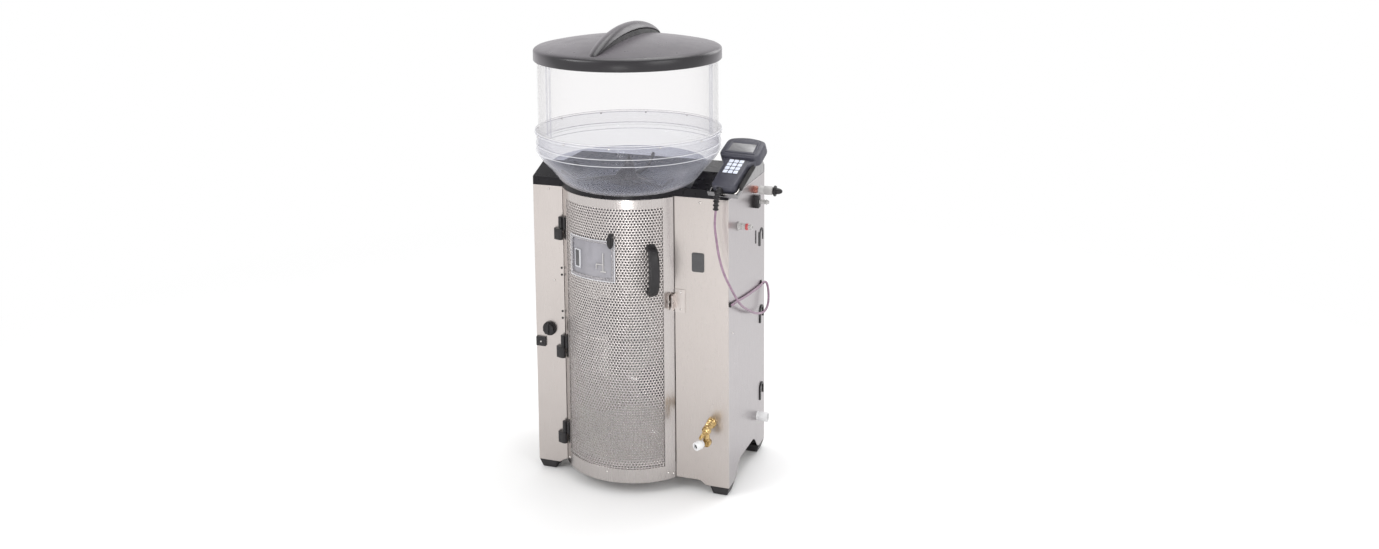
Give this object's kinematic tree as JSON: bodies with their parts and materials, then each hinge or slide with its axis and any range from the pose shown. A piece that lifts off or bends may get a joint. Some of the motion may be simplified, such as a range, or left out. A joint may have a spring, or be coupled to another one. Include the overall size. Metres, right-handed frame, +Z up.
{
  "type": "automatic calf milk feeder",
  "caption": "Free-standing stainless milk feeder for calves: bulged perforated door, clear powder hopper with a black lid, handheld terminal, brass tap and side fittings.",
  "frame": {"origin": "bottom centre of the bounding box, on the floor", "axes": "+Z up, the door faces -Y, the water fittings face +X"},
  "size_m": [0.686, 0.613, 1.364],
  "materials": {
    "steel": "brushed stainless sheet",
    "perforated_steel": "perforated stainless sheet",
    "polished_steel": "polished stainless",
    "black_plastic": "fine-grained moulding",
    "dark_grey_plastic": "satin moulding",
    "lid_plastic": "satin-gloss dark grey moulding",
    "clear_plastic": "clear polycarbonate",
    "brass": "cast and machined brass",
    "white_plastic": "white moulding",
    "grey_plastic": "light grey moulding",
    "red_plastic": "red release ring on a grey body",
    "motor_paint": "grey painted housing",
    "hose_plastic": "translucent hose",
    "terminal_plastic": "dark blue-grey moulding",
    "screen_glass": "grey display window",
    "key_foil": "bluish-white key foil",
    "cable_mauve": "mauve cable jacket"
  },
  "bodies": {
    "root": {"left_panel": "steel", "right_panel": "steel", "rear_panel": "steel", "floor_tray": "steel", "partition_panel": "steel", "hasp_bracket": "steel", "terminal_cradle": "steel", "foot_front_left": "black_plastic", "foot_front_right": "black_plastic", "foot_rear_left": "black_plastic", "foot_rear_right": "black_plastic", "top_cover": "black_plastic", "hinge_fixed_upper": "black_plastic", "hinge_fixed_middle": "black_plastic", "hinge_fixed_lower": "black_plastic", "power_socket": "black_plastic", "inlet_valve": "black_plastic", "hose_hook_upper": "black_plastic", "hose_hook_lower": "black_plastic", "service_window": "dark_grey_plastic", "dosing_housing": "dark_grey_plastic", "pump_head": "dark_grey_plastic", "hopper_bowl": "clear_plastic", "hopper_wall": "clear_plastic", "hopper_ring": "clear_plastic", "tap_body": "brass", "tap_nozzle": "white_plastic", "overflow_pipe": "white_plastic", "control_box": "grey_plastic", "inlet_filter": "grey_plastic", "hose_coupling": "red_plastic", "dosing_motor": "motor_paint", "mixer_motor": "motor_paint", "pump_motor": "motor_paint", "mixer_jar": "polished_steel", "boiler": "polished_steel", "water_hose": "hose_plastic", "milk_hose": "hose_plastic", "terminal_cable": "cable_mauve"},
    "door": {"door_frame": "steel", "door_mesh": "perforated_steel", "window_frame": "steel", "window_pane": "clear_plastic", "door_handle": "black_plastic", "door_hasp": "steel", "hinge_leaf_upper": "black_plastic", "hinge_leaf_middle": "black_plastic", "hinge_leaf_lower": "black_plastic"},
    "window_catch": {"window_catch": "black_plastic"},
    "lid": {"hopper_lid": "lid_plastic"},
    "agitator": {"agitator": "dark_grey_plastic", "dosing_wheel": "grey_plastic"},
    "impeller": {"mixer_impeller": "white_plastic"},
    "pump_rotor": {"pump_rotor": "white_plastic"},
    "tap_lever": {"tap_lever": "brass"},
    "switch_knob": {"switch_knob": "black_plastic"},
    "terminal": {"terminal_shell": "terminal_plastic", "terminal_screen": "screen_glass", "terminal_keypad": "key_foil", "cable_boot": "black_plastic"}
  },
  "joints": [
    {"name": "door_swing", "type": "hinge", "parent": "root", "child": "door", "pos_m": [-0.252, -0.0615, 0.45], "axis": [0, 0, -1], "range_deg": [0, 105]},
    {"name": "window_catch_turn", "type": "hinge", "parent": "door", "child": "window_catch", "pos_m": [-0.06107, -0.14698, 0.755], "axis": [0.0698, -0.9976, 0], "range_deg": [0, 90]},
    {"name": "lid_lift", "type": "slide", "parent": "root", "child": "lid", "axis": [0, 0, 1], "range_m": [0, 0.15]},
    {"name": "agitator_spin", "type": "hinge", "parent": "root", "child": "agitator", "pos_m": [-0.043, -0.0405, 0.85], "axis": [0, 0, 1], "continuous": true},
    {"name": "impeller_spin", "type": "hinge", "parent": "root", "child": "impeller", "pos_m": [-0.133, -0.0445, 0.57], "axis": [0, 0, 1], "continuous": true},
    {"name": "pump_spin", "type": "hinge", "parent": "root", "child": "pump_rotor", "pos_m": [0.019, -0.0125, 0.3], "axis": [0, 1, 0], "continuous": true},
    {"name": "tap_turn", "type": "hinge", "parent": "root", "child": "tap_lever", "pos_m": [0.207, -0.1165, 0.216], "axis": [0, 1, 0], "range_deg": [0, 90]},
    {"name": "switch_turn", "type": "hinge", "parent": "root", "child": "switch_knob", "pos_m": [-0.298, -0.0625, 0.442], "axis": [0, 1, 0], "range_deg": [0, 90]},
    {"name": "terminal_lift", "type": "slide", "parent": "root", "child": "terminal", "axis": [0.6495, -0.434, 0.6243], "range_m": [0, 0.09]}
  ]
}
